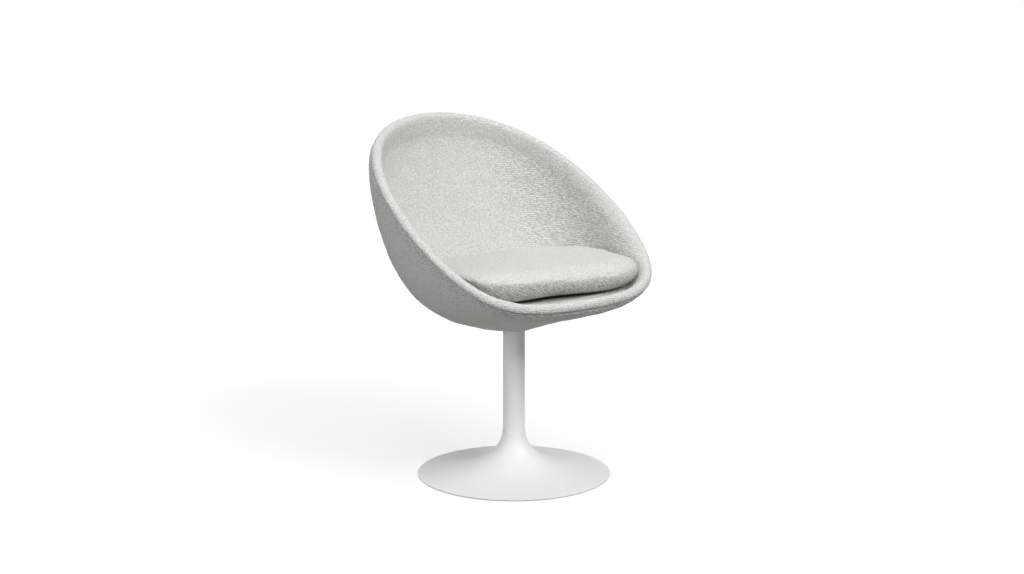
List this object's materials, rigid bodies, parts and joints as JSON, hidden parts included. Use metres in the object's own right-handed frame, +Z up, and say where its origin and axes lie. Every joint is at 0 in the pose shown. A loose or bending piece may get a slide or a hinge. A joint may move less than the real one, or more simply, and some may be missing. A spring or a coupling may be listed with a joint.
{
  "type": "pedestal swivel armchair",
  "caption": "Armchair with an egg-shaped padded tub and a loose round-fronted seat cushion, turning on a slim column with a trumpet foot.",
  "frame": {"origin": "on the floor, on the column's axis, which is the axis that the seat turns about", "axes": "+Z up along the column, the chair faces -Y, +X is the sitter's left"},
  "size_m": [0.5942, 0.6127, 0.7997],
  "materials": {
    "cover_fabric": "matt looped wool weave",
    "lining_fabric": "matt woven lining",
    "foam": "soft open-cell foam",
    "wadding": "soft fibre wadding",
    "shell_moulding": "glass-fibre moulding",
    "plywood": "unfinished birch plywood",
    "white_paint": "satin powder coat",
    "steel": "zinc-plated steel",
    "ballast_iron": "rough cast iron",
    "nylon": "natural nylon",
    "touch_tape": "hook-and-loop tape",
    "soft_plastic": "soft matt rubber"
  },
  "bodies": {
    "base": {"trumpet_foot": "white_paint", "floor_ring": "soft_plastic", "ballast_disc": "ballast_iron", "column_tube": "white_paint", "foot_plug": "steel", "pedestal_bolt": "steel", "bolt_washer": "steel", "bolt_spring_washer": "steel", "upper_bush": "nylon", "lower_bush": "nylon", "thrust_washer": "steel"},
    "seat": {"swivel_spindle": "steel", "retaining_washer": "steel", "retaining_bolt": "steel", "seat_plate": "steel", "plate_bolts": "steel", "plate_washers": "steel", "tee_nuts": "steel", "seat_board": "plywood", "neck_ring": "white_paint", "structural_shell": "shell_moulding", "outer_foam": "foam", "inner_foam": "foam", "deck_foam": "foam", "rim_foam": "foam", "inner_cover": "cover_fabric", "outer_cover": "cover_fabric", "seam_tape": "lining_fabric", "deck_lining": "lining_fabric", "deck_pads": "touch_tape"},
    "cushion": {"cushion_core": "foam", "cushion_wrap": "wadding", "cushion_cover_top": "cover_fabric", "cushion_cover_base": "lining_fabric", "cushion_zip": "touch_tape", "cushion_pads": "touch_tape"}
  },
  "joints": [
    {"name": "swivel", "type": "hinge", "parent": "base", "child": "seat", "pos_m": [0, 0, 0], "axis": [0, 0, 1], "continuous": true},
    {"name": "cushion_lift", "type": "slide", "parent": "seat", "child": "cushion", "axis": [0, 0, 1], "range_m": [0, 0.38]}
  ]
}
